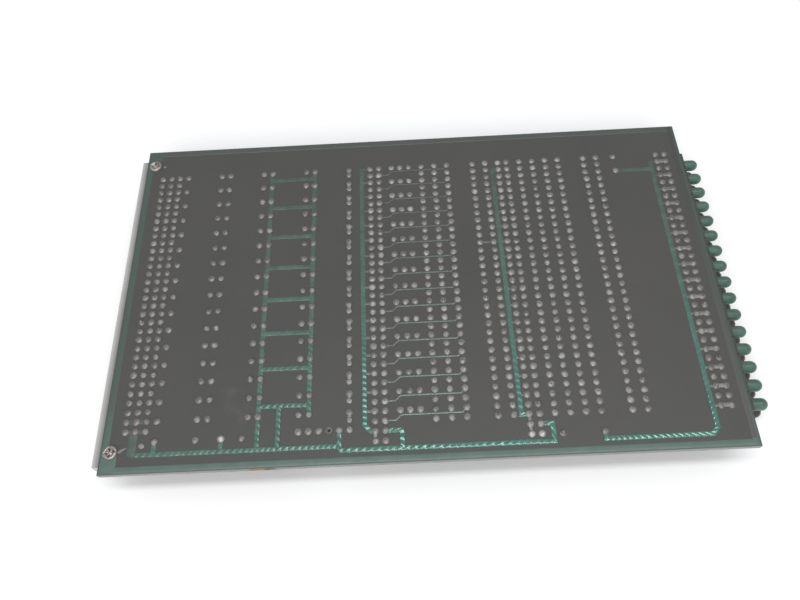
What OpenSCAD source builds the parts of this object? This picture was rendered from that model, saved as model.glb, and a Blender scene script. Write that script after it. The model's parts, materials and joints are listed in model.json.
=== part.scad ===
// Rack-format circuit board with an edge connector and a double row of lamps.
// It lies with its soldered side up, on the connector and the lamp holders.

/* [Board] */
// Length of the board, from the connector edge to the lamp edge
board_l = 160; // [158:0.5:180]
// Width of the board, along the connector
board_w = 100; // [99:0.5:120]
// Thickness of the board
board_t = 1.6; // [1:0.1:2.4]
// Clear height under the board, set by the connector and the lamp holders
stand_h = 11; // [10.8:0.1:14]

/* [Hole grid] */
// Distance between neighbouring holes
pitch = 2.54; // [2.5:0.01:2.56]
// Number of rows of holes in a full column
row_count = 32; // [16:8:32]
// First connector column, from the connector edge
grid_inset = 5.4; // [5.2:0.1:6]
// Diameter of the holes that take leads
hole_d = 1; // [0.95:0.05:1.1]
// Diameter of the small vias
via_d = 0.6; // [0.4:0.05:0.8]

/* [Copper and solder] */
// Height of the tracks with the mask over them
copper_t = 0.12; // [0.05:0.01:0.2]
// Width of the supply tracks
supply_w = 1.2; // [0.8:0.05:1.4]
// Width of the supply track that leaves the connector
plug_w = 1.9; // [1.2:0.05:2]
// Width of the short stubs between a rail and its header
stub_w = 0.7; // [0.4:0.05:0.9]
// Width of the signal tracks
signal_w = 0.4; // [0.25:0.05:0.5]
// Width of the border strip
border_w = 1.6; // [1:0.1:2]
// Bare rim outside the border strip
border_rim = 0.3; // [0.2:0.05:0.6]
// Length of the border patches at the connector corners
patch_l = 3.9; // [3:0.1:4.4]
// Diameter of a soldered pad
pad_d = 1.8; // [1.4:0.05:1.9]
// Width of the tinned links between the lamps' joints
link_w = 1.3; // [0.5:0.05:1.35]
// Height of the solder above its pad
joint_h = 0.7; // [0.4:0.05:1]
// Height of the cut lead end above the solder
tip_h = 0.35; // [0.1:0.05:0.8]
// Diameter of the cut lead end
tip_d = 0.7; // [0.5:0.05:0.9]
// Diameter of a solder-filled via
via_cap_d = 1.45; // [0.9:0.05:1.6]
// Height of a solder-filled via
via_cap_h = 0.3; // [0.1:0.05:0.5]

/* [Edge connector] */
// How far the connector stands out past the board's edge
plug_reach = 2.3; // [2:0.1:9]
// Depth of the cavity that takes the mating plug
cavity_depth = 5.7; // [4:0.1:6]
// Wall of the connector round its cavity
plug_wall = 1.2; // [0.9:0.1:1.6]
// Gap between the back of the housing and the first row of contact tails
tail_gap = 0.7; // [0.5:0.1:1]
// Cavity space beyond the last contact at each end
cavity_end = 1.9; // [1.5:0.1:2.1]
// Housing beyond the last contact at each end
plug_end = 8.2; // [7.4:0.1:8.6]
// Thickness of a contact
contact_w = 0.6; // [0.5:0.05:0.65]
// Distance from the mouth of the cavity to the contact tips
contact_inset = 1; // [0.5:0.1:2]
// Thickness of the fixing ears
ear_t = 3; // [2:0.1:4]
// Distance of the fixing rivets from the first connector column
rivet_offset = 2.9; // [2.7:0.1:3]
// Diameter of the rivet shanks
rivet_d = 2.5; // [2:0.1:2.6]
// Bore of the rivets' rolled ends
rivet_bore = 1.7; // [1:0.1:1.8]
// Depth of that bore
bore_depth = 0.8; // [0.6:0.1:2]
// Diameter of the rivet heads
rivet_head_d = 3.8; // [3.4:0.1:4]
// Height of the rivet heads
rivet_head_h = 0.7; // [0.4:0.1:1]

/* [Axial parts] */
// Diameter of a resistor's end caps
resistor_d = 2.4; // [1.8:0.1:2.6]
// Diameter of a resistor's waist
resistor_waist = 2; // [1.6:0.1:2.4]
// Length of a resistor's body
resistor_l = 6.3; // [5:0.1:7]
// Diameter of a diode's body
diode_d = 2.7; // [2:0.1:3]
// Length of a diode's body
diode_l = 5.2; // [4:0.1:7]
// Height of an axial part's centre line above the board
axial_rise = 1.7; // [1.6:0.1:2.4]
// Diameter of the wire leads
wire_d = 0.6; // [0.5:0.05:0.8]
// Bend radius of the wire leads, at their centre line
wire_bend = 0.9; // [0.6:0.1:1.2]

/* [Cases] */
// Diameter of a transistor case
transistor_d = 4.8; // [4.2:0.1:4.9]
// Distance from a transistor's centre to its flat
transistor_flat = 1.3; // [1:0.1:1.8]
// Height of a transistor case
transistor_h = 4.8; // [4:0.1:5.4]
// Height of a transistor case above the board
transistor_rise = 3; // [2.4:0.1:3.6]
// Thickness of a transistor's leads
transistor_lead = 0.45; // [0.4:0.05:0.6]
// Number of pins on each side of an integrated circuit, and of a network
case_pins = 8; // [4:1:8]
// Width of an integrated circuit's body
chip_w = 6.4; // [5.6:0.1:6.6]
// Thickness of an integrated circuit's body
chip_h = 3.3; // [2.6:0.1:3.6]
// Height of an integrated circuit above the board
chip_rise = 0.5; // [0.3:0.1:1]
// Thickness of a resistor network's case
network_w = 2.4; // [1.8:0.1:2.9]
// Height of a resistor network's case
network_h = 5; // [4:0.1:7]
// Height of a resistor network above the board
network_rise = 0.6; // [0.3:0.1:1]
// Length of a capacitor's case
capacitor_l = 7.2; // [6.4:0.1:7.4]
// Width of a capacitor's case
capacitor_w = 3.2; // [2.4:0.1:3.6]
// Height of a capacitor's case
capacitor_h = 7.5; // [6:0.1:9]

/* [Pin headers] */
// Side of the square header pins
header_pin = 0.64; // [0.5:0.02:0.64]
// Height of the header bases
header_base_h = 2.5; // [2:0.1:3]
// Height of the header pins above the board
header_pin_h = 8.5; // [7:0.1:10]
// Height of the locking wall on the supply header
lock_wall_h = 8; // [6:0.1:10]
// Thickness of the locking wall on the supply header
lock_wall_t = 0.8; // [0.6:0.1:1.4]

/* [Lamps] */
// Distance from the lamp edge to the nearest lamp leads
lamp_inset = 4.74; // [4.4:0.02:5.2]
// Diameter of a lamp
lamp_d = 3.2; // [2.6:0.1:3.3]
// Diameter of a lamp's flange
flange_d = 3.9; // [3.4:0.1:4]
// Thickness of a lamp's flange
flange_t = 1; // [0.8:0.1:1.4]
// Distance from the board to the axis of the near lamps
near_axis = 2.9; // [2.2:0.1:3]
// Distance between the near lamps and the far lamps
lamp_step = 5.6; // [5:0.1:5.9]
// How far the near lamps stand out past the board's edge
near_reach = 6.2; // [4.5:0.1:6.6]
// How far the far lamps stand out past the board's edge
lamp_reach = 6.7; // [6.4:0.1:8]
// How far the lamp holders stand out past the board's edge
holder_reach = 1.4; // [0:0.1:2]
// Length of a lamp holder behind its leads
holder_back = 1.9; // [1.5:0.1:3]
// Gap between neighbouring lamp holders
holder_gap = 0.18; // [0.1:0.02:0.4]

/* [Hidden] */
$fn = 32;

// Fits and small allowances
contact_fit = 0.03;
rivet_fit = 0.05;
pin_fit = 0.03;
flange_fit = 0.05;
chamfer = 0.4;

// Heights and the board's left edge
comp_z = stand_h;
sold_z = stand_h + board_t;
board_x = -(board_l + lamp_reach - plug_reach) / 2;
last_row = row_count - 1;

// Place of a hole, by its column and row counted in pitches
function col(n) = board_x + grid_inset + n * pitch;
function row(r) = (last_row / 2 - r) * pitch;
function spot(n, r) = [col(n), row(r)];
function grid(cols, rows) = [for (n = cols, r = rows) spot(n, r)];

// Rows of holes
all_rows = [0:last_row];
even_rows = [0:2:last_row];
odd_rows = [1:2:last_row];
long_rows = [0:row_count + 1];
front_row = row_count + 0.1;
header_row = row_count - 0.25;
link_row = row_count + 1.05;
bus_row = row_count + 1.35;
low_bus_row = row_count + 1.77;

// Columns of holes
connector_cols = [0, 1, 2];
axial_span = 4;
input_bank = 3;
divider_bank = 8;
clamp_bank = 13;
pulldown_bank = 18;
input_header_cols = [24.5, 25.5];
transistor_cols = [27, 28, 29];
input_network_cols = [30.5, 32];
driver_cols = [33.5, 36.5];
pullup_network_cols = [38];
output_header_cols = [39.5, 40.5];
centre_network_cols = [42, 43.5, 45];
logic_cols = [46.5, 49.5];
lamp_network_cols = [51];
link_col = 42.5;
filter_col = 53;
supply_capacitor_col = 9.5;
capacitor_span = 2;
supply_header_cols = [17:22];
open_col = 20;
lamp_col = (board_l - lamp_inset - grid_inset) / pitch;
lamp_cols = [lamp_col - 1, lamp_col];
via_row_step = 0.79;
single_via = [1.8, row_count + 0.46];

// Holes of each group of parts
bank_cols = [for (b = [input_bank, divider_bank, clamp_bank, pulldown_bank], s = [0, axial_span]) b + s];
connector_spots = grid(connector_cols, all_rows);
axial_spots = concat(
    grid(bank_cols, even_rows),
    grid([input_bank, input_bank + axial_span], [front_row]),
    grid([link_col, link_col + axial_span], [link_row])
);
transistor_spots = grid(transistor_cols, even_rows);
network_cols = concat(input_network_cols, pullup_network_cols, centre_network_cols, lamp_network_cols);
case_count = floor(row_count / case_pins);
case_rows = [0:case_count * case_pins - 1];
network_spots = grid(network_cols, case_rows);
chip_spots = grid(concat(driver_cols, logic_cols), case_rows);
supply_pin_cols = [for (n = supply_header_cols) if (n != open_col) n];
header_spots = concat(
    grid(concat(input_header_cols, output_header_cols), long_rows),
    grid(supply_pin_cols, [header_row])
);
capacitor_spots = concat(
    grid([supply_capacitor_col, supply_capacitor_col + capacitor_span], [front_row]),
    grid([filter_col], [0, capacitor_span])
);
lamp_spots = grid(lamp_cols, all_rows);
lead_spots = concat(
    connector_spots, axial_spots, transistor_spots, network_spots,
    chip_spots, header_spots, capacitor_spots, lamp_spots
);
via_spots = concat(
    [for (r = even_rows) spot(pulldown_bank + axial_span, r + via_row_step)],
    [spot(single_via[0], single_via[1])]
);
open_spot = spot(open_col, header_row);
rivet_x = col(0) - rivet_offset;
rivet_y = (last_row / 2 + 2) * pitch;
rivet_spots = [[rivet_x, -rivet_y], [rivet_x, rivet_y]];

// Colours
mask_colour = "#54524e";
track_colour = "#5f8474";
solder_colour = "#aaa59f";
shell_colour = "#9c9893";
metal_colour = "#b9b6b0";
gold_colour = "#c2a55c";
black_colour = "#2b2b2c";
resistor_colour = "#b79a74";
network_colour = "#3a3330";
capacitor_colour = "#7c3f33";
green_lamp_colour = "#4f8a6c";
red_lamp_colour = "#5a2a26";

// Outline of a strip of width w along a path, with mitred corners
function aim(a, b) = (b - a) / norm(b - a);
function left_of(v) = [-v.y, v.x];
function edge_point(path, i, offset) =
    let (
        first = aim(path[max(i, 1) - 1], path[max(i, 1)]),
        last = len(path) - 1,
        next = i < last ? aim(path[i], path[i + 1]) : first,
        mitre = left_of(first) + left_of(next)
    ) path[i] + offset * 2 * mitre / (mitre * mitre);
function strip(path, w) = concat(
    [for (i = [0:len(path) - 1]) edge_point(path, i, w / 2)],
    [for (i = [len(path) - 1:-1:0]) edge_point(path, i, -w / 2)]
);

// Puts parts on the component side, with z counted away from the board
module under_board() {
    translate([0, 0, comp_z]) mirror([0, 0, 1]) children();
}

// Flat strip bent in the X-Z plane, t thick and w wide
module bent_strip(path, t, w) {
    rotate([90, 0, 0]) linear_extrude(w, center = true) polygon(strip(path, t));
}

// Profile in the X-Z plane run along Y, centred
module run_along_y(l) {
    rotate([90, 0, 0]) linear_extrude(l, center = true) children();
}

// Rectangle standing on its base, with its two upper corners cut
module cut_corners(w, h, cut) {
    polygon([
        [-w / 2, 0], [w / 2, 0], [w / 2, h - cut],
        [w / 2 - cut, h], [cut - w / 2, h], [-w / 2, h - cut]
    ]);
}

// Laminate with every hole
module circuit_board() {
    color(mask_colour) translate([0, 0, comp_z]) linear_extrude(board_t) difference() {
        translate([board_x, -board_w / 2]) square([board_l, board_w]);
        for (s = concat(lead_spots, [open_spot])) translate(s) circle(d = hole_d);
        for (s = via_spots) translate(s) circle(d = via_d);
        for (s = rivet_spots) translate(s) circle(d = rivet_d + 2 * rivet_fit);
    }
}

// Raises copper shapes on the soldered face
module copper() {
    color(track_colour) translate([0, 0, sold_z]) linear_extrude(copper_t) children();
}

// Strip round the board's edge with a patch beside each rivet
module copper_border() {
    ring_l = board_l - 2 * border_rim;
    ring_w = board_w - 2 * border_rim;
    copper() difference() {
        union() {
            difference() {
                translate([board_x + border_rim, -ring_w / 2]) square([ring_l, ring_w]);
                translate([board_x + border_rim + border_w, border_w - ring_w / 2])
                    square([ring_l - 2 * border_w, ring_w - 2 * border_w]);
            }
            for (s = [-1, 1]) scale([1, s])
                translate([board_x + border_rim, rivet_y]) square([patch_l, ring_w / 2 - rivet_y]);
        }
        for (s = rivet_spots) translate(s) circle(d = rivet_head_d + 4 * rivet_fit);
    }
}

// Columns that tracks run to
in_left = input_header_cols[0];
in_right = input_header_cols[1];
out_left = output_header_cols[0];
out_right = output_header_cols[1];
plug_col = connector_cols[1];
driver_in = driver_cols[0];
driver_out = driver_cols[1];
pullup_col = pullup_network_cols[0];
link_end = link_col + axial_span;

// Columns, rows and corners of the wide tracks
input_rail = in_left - 1;
output_rail = out_left - 0.75;
lamp_rail = lamp_col - 1.8;
middle_col = 15;
step_col = 21;
drop_col = 27.1;
bus_end = 41.6;
last_rung = row_count - 3;
rung_step = 4;
stub_row = 11;
corner_cut = 0.3;
bus_cut = 0.6;
supply_paths = concat(
    [
        [[plug_col, bus_row], [step_col, bus_row]],
        [[step_col, header_row], [step_col, low_bus_row]],
        [[step_col, low_bus_row], [bus_end, low_bus_row], [bus_end, row_count], [out_right, row_count]],
        [[clamp_bank, 0], [clamp_bank, bus_row]],
        [[pulldown_bank, 0], [pulldown_bank, last_row - 1]],
        [[middle_col, last_rung], [middle_col, bus_row]],
        [[input_rail, 0], [input_rail, row_count - bus_cut], [input_rail + bus_cut, row_count],
            [in_left, row_count]],
        [[in_right, row_count], [drop_col, row_count], [drop_col, low_bus_row]],
        [[out_left, 1], [output_rail + corner_cut, 1], [output_rail, 1 + corner_cut],
            [output_rail, last_row], [out_left, last_row]],
        [[link_end, link_row], [link_end, low_bus_row], [lamp_rail - bus_cut, low_bus_row],
            [lamp_rail, low_bus_row - bus_cut], [lamp_rail, 1]],
        [[filter_col, capacitor_span], [lamp_rail, capacitor_span]]
    ],
    [for (r = [last_row - 1, last_row]) [[connector_cols[0], r], [connector_cols[2], r]]],
    [for (n = [input_bank, supply_capacitor_col]) [[n, front_row], [n, bus_row]]],
    [for (r = [1:rung_step:last_rung]) [[clamp_bank, r], [pulldown_bank, r]]]
);
stub_paths = concat(
    [
        [[in_left, row_count], [in_left, row_count + 1]],
        [[out_left, last_row], [out_left, row_count + 1]],
        [[driver_out, stub_row], [pullup_col, stub_row]]
    ],
    [for (r = even_rows) [[input_rail, r], [in_left, r]]],
    [for (r = odd_rows) [[lamp_rail, r], [lamp_cols[0], r]]],
    [for (r = [3:2:last_row - 2]) [[output_rail, r], [out_left, r]]]
);

// Paths of the signal tracks: out of the header, across in a lane, into the driver
lane_drop = 0.48;
jog_start = in_right + 1.05;
jog_end = in_right + 1.6;
lane_end = driver_in - 0.4;
signal_paths = [
    for (r = even_rows) [
        [in_right, r + 1], [jog_start, r + 1], [jog_end, r + lane_drop],
        [lane_end, r + lane_drop], [driver_in, r]
    ]
];

// Copper along paths, open where the solder joints stand
module tracks(paths, w) {
    for (path = paths) polygon(strip([for (p = path) spot(p[0], p[1])], w));
}
module pads(spots) {
    for (s = spots) translate(s) circle(d = pad_d);
}
module supply_tracks() {
    pad_cols = concat(connector_cols, [clamp_bank, pulldown_bank, in_left, in_right, driver_out, pullup_col,
        out_left, out_right, lamp_cols[0]]);
    copper() difference() {
        union() {
            tracks(supply_paths, supply_w);
            tracks([[[plug_col, last_row], [plug_col, bus_row + supply_w / pitch / 2]]], plug_w);
            tracks(stub_paths, stub_w);
        }
        pads([for (s = lead_spots, n = pad_cols) if (abs(s.x - col(n)) < pitch / 8) s]);
        pads(concat(axial_spots, capacitor_spots, grid([step_col], [header_row])));
    }
}
module signal_tracks() {
    copper() difference() {
        tracks(signal_paths, signal_w);
        pads(grid([in_right, driver_in], long_rows));
    }
}

// Small domes of solder on the vias
module via_caps() {
    rim_r = via_cap_d / 2;
    color(solder_colour) for (s = via_spots) translate([s.x, s.y, sold_z]) rotate_extrude()
        polygon([[0, 0], [rim_r, 0], [rim_r, copper_t], [via_d / 2, via_cap_h], [0, via_cap_h]]);
}

// Solder joint on its pad, hollow-sided, with the cut lead end on top
module solder_joint() {
    shoulder_r = (pad_d + 2 * tip_d) / 6;
    shoulder_z = copper_t + joint_h / 3;
    top_z = copper_t + joint_h;
    rotate_extrude() polygon([
        [0, 0], [pad_d / 2, 0], [pad_d / 2, copper_t], [shoulder_r, shoulder_z],
        [tip_d / 2, top_z], [tip_d / 2, top_z + tip_h], [0, top_z + tip_h]
    ]);
}
module joints(spots) {
    color(solder_colour) for (s = spots) translate([s.x, s.y, sold_z]) solder_joint();
}
module connector_joints() { joints(connector_spots); }
module axial_joints() { joints(axial_spots); }
module transistor_joints() { joints(transistor_spots); }
module network_joints() { joints(network_spots); }
module chip_joints() { joints(chip_spots); }
module header_joints() { joints(header_spots); }
module capacitor_joints() { joints(capacitor_spots); }
module lamp_joints() { joints(lamp_spots); }

// Tinned copper left bare of mask: links between joints, and a ring round the empty hole
module bare_copper() {
    color(solder_colour) translate([0, 0, sold_z]) linear_extrude(copper_t) children();
}
module lamp_links() {
    bare_copper() difference() {
        tracks([for (r = odd_rows) [for (n = lamp_cols) [n, r]]], link_w);
        pads(lamp_spots);
    }
}
module open_pad() {
    bare_copper() translate(open_spot) difference() {
        circle(d = pad_d);
        circle(d = hole_d);
    }
}

// Edge connector
plug_x = board_x - plug_reach;
plug_depth = plug_reach + grid_inset - tail_gap;
plug_l = last_row * pitch + 2 * plug_end;
cavity_l = last_row * pitch + 2 * cavity_end;
contact_levels = [for (i = [-1:1]) stand_h / 2 + i * pitch];

// Straight part of a contact, from its tip to its tail
module contact_path(i, grow) {
    tail_x = col(connector_cols[i]);
    path = [[plug_x + contact_inset, contact_levels[i]], [tail_x, contact_levels[i]], [tail_x, -board_t]];
    bent_strip(path, contact_w + 2 * grow, contact_w + 2 * grow);
}
module connector_housing() {
    ear_y = cavity_l / 2 + plug_wall;
    color(shell_colour) under_board() difference() {
        translate([plug_x, -plug_l / 2, 0]) cube([plug_depth, plug_l, stand_h]);
        translate([plug_x, -cavity_l / 2, plug_wall])
            cube([cavity_depth, cavity_l, stand_h - 2 * plug_wall]);
        for (s = [-1, 1]) scale([1, s, 1]) translate([plug_x - plug_depth, ear_y, ear_t])
            cube([3 * plug_depth, plug_end, stand_h]);
        for (s = rivet_spots) translate([s.x, s.y, 0])
            cylinder(d = rivet_d + 2 * rivet_fit, h = 2 * ear_t, center = true);
        for (i = [0:2], r = all_rows) translate([0, row(r), 0]) contact_path(i, contact_fit);
    }
}
module connector_contacts() {
    color(gold_colour) under_board() for (i = [0:2], r = all_rows)
        translate([0, row(r), 0]) contact_path(i, 0);
}

// Rivets with a flat head under the ear and a rolled end with its bore on the soldered face
module connector_rivets() {
    shank_r = rivet_d / 2;
    head_r = rivet_head_d / 2;
    bore_r = rivet_bore / 2;
    roll = rivet_head_h / 2;
    rolled_z = -board_t - rivet_head_h;
    flat_z = ear_t + rivet_head_h;
    color(metal_colour) under_board() for (s = rivet_spots) translate([s.x, s.y, 0]) rotate_extrude()
        polygon([
            [0, flat_z], [0, rolled_z + bore_depth], [bore_r, rolled_z + bore_depth],
            [bore_r, rolled_z + roll], [bore_r + roll, rolled_z],
            [head_r - roll, rolled_z], [head_r, rolled_z + roll], [head_r, -board_t],
            [shank_r, -board_t], [shank_r, ear_t], [head_r, ear_t], [head_r, flat_z]
        ]);
}

// Places of the axial parts: middle column and row
function bank_places(start) = [for (r = even_rows) [start + axial_span / 2, r]];
input_places = concat(bank_places(input_bank), [[input_bank + axial_span / 2, front_row]]);
link_places = [[link_col + axial_span / 2, link_row]];

// Resistor body with thicker end caps
module resistor_bodies(places) {
    cap_r = resistor_d / 2;
    waist_r = resistor_waist / 2;
    half = resistor_l / 2;
    cap_l = resistor_l / 4;
    color(resistor_colour) under_board() for (p = places)
        translate([col(p[0]), row(p[1]), axial_rise]) rotate([0, 90, 0]) rotate_extrude() polygon([
            [0, -half], [cap_r - chamfer, -half], [cap_r, chamfer - half], [cap_r, cap_l - half],
            [waist_r, cap_l + chamfer - half], [waist_r, half - cap_l - chamfer], [cap_r, half - cap_l],
            [cap_r, half - chamfer], [cap_r - chamfer, half], [0, half]
        ]);
}

// Wire leads of axial parts, bent down into the board
module axial_leads(places, body_l) {
    foot_x = axial_span * pitch / 2;
    color(metal_colour) under_board() for (p = places, s = [-1, 1])
        translate([col(p[0]), row(p[1]), 0]) scale([s, 1, 1]) {
            translate([foot_x, 0, -board_t]) cylinder(d = wire_d, h = board_t + axial_rise - wire_bend);
            translate([foot_x - wire_bend, 0, axial_rise - wire_bend]) rotate([90, 0, 0])
                rotate_extrude(angle = 90) translate([wire_bend, 0]) circle(d = wire_d);
            translate([body_l / 2, 0, axial_rise]) rotate([0, 90, 0])
                cylinder(d = wire_d, h = foot_x - wire_bend - body_l / 2);
        }
}
module input_resistors() { resistor_bodies(input_places); }
module input_resistor_leads() { axial_leads(input_places, resistor_l); }
module divider_resistors() { resistor_bodies(bank_places(divider_bank)); }
module divider_resistor_leads() { axial_leads(bank_places(divider_bank), resistor_l); }
module pulldown_resistors() { resistor_bodies(bank_places(pulldown_bank)); }
module pulldown_resistor_leads() { axial_leads(bank_places(pulldown_bank), resistor_l); }
module link_resistor() { resistor_bodies(link_places); }
module link_resistor_leads() { axial_leads(link_places, resistor_l); }

// Diode body with chamfered ends
module clamp_diodes() {
    r = diode_d / 2;
    half = diode_l / 2;
    color(black_colour) under_board() for (p = bank_places(clamp_bank))
        translate([col(p[0]), row(p[1]), axial_rise]) rotate([0, 90, 0]) rotate_extrude() polygon([
            [0, -half], [r - chamfer, -half], [r, chamfer - half],
            [r, half - chamfer], [r - chamfer, half], [0, half]
        ]);
}
module clamp_diode_leads() { axial_leads(bank_places(clamp_bank), diode_l); }

// Box capacitor on two straight leads
module capacitor_case() {
    run_along_y(capacitor_w) cut_corners(capacitor_l, capacitor_h, chamfer);
}
module capacitor_wires() {
    for (s = [-1, 1]) translate([s * capacitor_span * pitch / 2, 0, -board_t])
        cylinder(d = wire_d, h = board_t);
}
module at_supply_capacitor() {
    under_board() translate(concat(spot(supply_capacitor_col + capacitor_span / 2, front_row), 0)) children();
}
module at_filter_capacitor() {
    under_board() translate(concat(spot(filter_col, capacitor_span / 2), 0)) rotate([0, 0, 90]) children();
}
module supply_capacitor() { color(capacitor_colour) at_supply_capacitor() capacitor_case(); }
module supply_capacitor_leads() { color(metal_colour) at_supply_capacitor() capacitor_wires(); }
module filter_capacitor() { color(capacitor_colour) at_filter_capacitor() capacitor_case(); }
module filter_capacitor_leads() { color(metal_colour) at_filter_capacitor() capacitor_wires(); }

// Base of a pin header, notched between its rows
header_slack = 0.05;
function notched_side(x, n, s) = concat(
    [for (i = [0:n - 1]) each [
        [x - s * chamfer, (i - n / 2) * pitch], [x, (i - n / 2) * pitch + chamfer],
        [x, (i + 1 - n / 2) * pitch - chamfer]
    ]],
    [[x - s * chamfer, n / 2 * pitch]]
);
function reversed(list) = [for (i = [len(list) - 1:-1:0]) list[i]];
module header_base(cols, rows) {
    x = cols * pitch / 2 - header_slack;
    linear_extrude(header_base_h) difference() {
        polygon(concat(notched_side(x, rows, 1), reversed(notched_side(-x, rows, -1))));
        for (i = [0:cols - 1], j = [0:rows - 1])
            translate([(i - (cols - 1) / 2) * pitch, (j - (rows - 1) / 2) * pitch])
                square(header_pin + 2 * pin_fit, center = true);
    }
}
module header_pins(spots) {
    color(gold_colour) under_board() for (s = spots)
        translate([s.x - header_pin / 2, s.y - header_pin / 2, -board_t])
            cube([header_pin, header_pin, board_t + header_pin_h]);
}
module long_header(cols) {
    middle = spot((cols[0] + cols[1]) / 2, (row_count + 1) / 2);
    color(black_colour) under_board() translate(concat(middle, 0)) header_base(len(cols), row_count + 2);
}
module input_header() { long_header(input_header_cols); }
module input_header_pins() { header_pins(grid(input_header_cols, long_rows)); }
module output_header() { long_header(output_header_cols); }
module output_header_pins() { header_pins(grid(output_header_cols, long_rows)); }

// Six-way supply header with a locking wall, one place left empty
module supply_header() {
    n = len(supply_pin_cols) + 1;
    pin_hole = header_pin + 2 * pin_fit;
    x0 = col(supply_header_cols[0]) - pitch / 2;
    y0 = row(header_row) - pitch;
    color(shell_colour) under_board() difference() {
        union() {
            translate([x0, y0, 0]) cube([n * pitch, 2 * pitch, header_base_h]);
            translate([x0 + pitch / 2, y0, 0]) cube([(n - 1) * pitch, lock_wall_t, lock_wall_h]);
        }
        for (s = grid(supply_header_cols, [header_row])) translate([s.x, s.y, header_base_h / 2])
            cube([pin_hole, pin_hole, 2 * header_base_h], center = true);
    }
}
module supply_header_pins() { header_pins(grid(supply_pin_cols, [header_row])); }

// Small transistors with a flat face, and their formed leads
module transistors() {
    color(black_colour) under_board() for (r = even_rows)
        translate([col(transistor_cols[1]), row(r), transistor_rise])
            linear_extrude(transistor_h) difference() {
                circle(d = transistor_d);
                translate([-transistor_d / 2, transistor_flat]) square(transistor_d);
            }
}
module transistor_leads() {
    knee = transistor_rise / 3;
    splay = [[pitch / 2, transistor_rise], [pitch / 2, 2 * knee], [pitch, knee], [pitch, -board_t]];
    color(metal_colour) under_board() for (r = even_rows) translate([col(transistor_cols[1]), row(r), 0]) {
        bent_strip([[0, transistor_rise], [0, -board_t]], transistor_lead, transistor_lead);
        for (s = [-1, 1]) scale([s, 1, 1]) bent_strip(splay, transistor_lead, transistor_lead);
    }
}

// Cases with rows of pins: middle row of case k, and the row of its pin j from there
case_slack = 0.3;
function case_row(k) = k * case_pins + (case_pins - 1) / 2;
case_l = case_pins * pitch - case_slack;
pin_t = 0.25;
pin_w = 0.46;
leg_w = 1.4;
leg_z = 0.9;
notch_d = 1.6;

// Dual-in-line bodies with drafted sides and an end notch
module chips(cols) {
    mid = chip_h / 2;
    draft = chamfer / 2;
    half = chip_w / 2;
    color(black_colour) under_board() for (k = [0:case_count - 1])
        translate([(col(cols[0]) + col(cols[1])) / 2, row(case_row(k)), chip_rise]) difference() {
            run_along_y(case_l) polygon([
                [draft - half, 0], [half - draft, 0], [half, mid],
                [half - draft, chip_h], [draft - half, chip_h], [-half, mid]
            ]);
            translate([0, case_l / 2, chip_h - chamfer]) cylinder(d = notch_d, h = 2 * chamfer);
        }
}
module chip_pins(cols) {
    foot_x = (cols[1] - cols[0]) * pitch / 2;
    mid_z = chip_rise + chip_h / 2;
    leg = [[chip_w / 2, mid_z], [foot_x, mid_z], [foot_x, leg_z]];
    color(metal_colour) under_board() for (r = case_rows, s = [-1, 1])
        translate([(col(cols[0]) + col(cols[1])) / 2, row(r), 0]) scale([s, 1, 1]) {
            bent_strip(leg, pin_t, leg_w);
            bent_strip([[foot_x, leg_z], [foot_x, -board_t]], pin_t, pin_w);
        }
}
module driver_chips() { chips(driver_cols); }
module driver_chip_pins() { chip_pins(driver_cols); }
module logic_chips() { chips(logic_cols); }
module logic_chip_pins() { chip_pins(logic_cols); }

// Single-row resistor networks
module networks(cols) {
    color(network_colour) under_board() for (n = cols, k = [0:case_count - 1])
        translate([col(n), row(case_row(k)), network_rise])
            run_along_y(case_l) cut_corners(network_w, network_h, chamfer);
}
module network_pins(cols) {
    color(metal_colour) under_board() for (s = grid(cols, case_rows)) translate([s.x, s.y, 0])
        bent_strip([[0, network_rise], [0, -board_t]], pin_t, pin_w);
}
module input_networks() { networks(input_network_cols); }
module input_network_pins() { network_pins(input_network_cols); }
module pullup_networks() { networks(pullup_network_cols); }
module pullup_network_pins() { network_pins(pullup_network_cols); }
module centre_networks() { networks(centre_network_cols); }
module centre_network_pins() { network_pins(centre_network_cols); }
module lamp_networks() { networks(lamp_network_cols); }
module lamp_network_pins() { network_pins(lamp_network_cols); }

// Lamp holders: blocks on the board with a recess for each lamp's flange
holder_front = board_x + board_l + holder_reach;
holder_l = holder_front - col(lamp_cols[0]) + holder_back;
lamp_axes = [near_axis, near_axis + lamp_step];
lamp_pairs = [for (r = even_rows) row(r + 0.5)];
module lamp_holders() {
    w = 2 * pitch - holder_gap;
    color(black_colour) under_board() for (y = lamp_pairs) translate([holder_front, y, 0]) difference() {
        run_along_y(w) polygon([
            [0, 0], [0, stand_h], [2 * chamfer - holder_l, stand_h],
            [-holder_l, stand_h - 2 * chamfer], [-holder_l, 0]
        ]);
        for (z = lamp_axes) translate([-flange_t, 0, z]) rotate([0, 90, 0])
            cylinder(d = flange_d + 2 * flange_fit, h = 2 * flange_t);
    }
}

// Lamp with a flange, a barrel and a domed end
module lamps(axis_z, reach) {
    barrel = reach - holder_reach + flange_t - lamp_d / 2;
    under_board() for (y = lamp_pairs) translate([holder_front - flange_t, y, axis_z]) rotate([0, 90, 0])
        rotate_extrude() {
            square([flange_d / 2, flange_t]);
            square([lamp_d / 2, barrel]);
            translate([0, barrel]) intersection() {
                circle(d = lamp_d);
                square(lamp_d / 2);
            }
        }
}
module near_lamps() { color(green_lamp_colour) lamps(lamp_axes[0], near_reach); }
module far_lamps() { color(red_lamp_colour) lamps(lamp_axes[1], lamp_reach); }
module lamp_leads() {
    color(metal_colour) under_board() for (s = lamp_spots) translate([s.x, s.y, -board_t])
        cylinder(d = wire_d, h = board_t);
}

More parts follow.
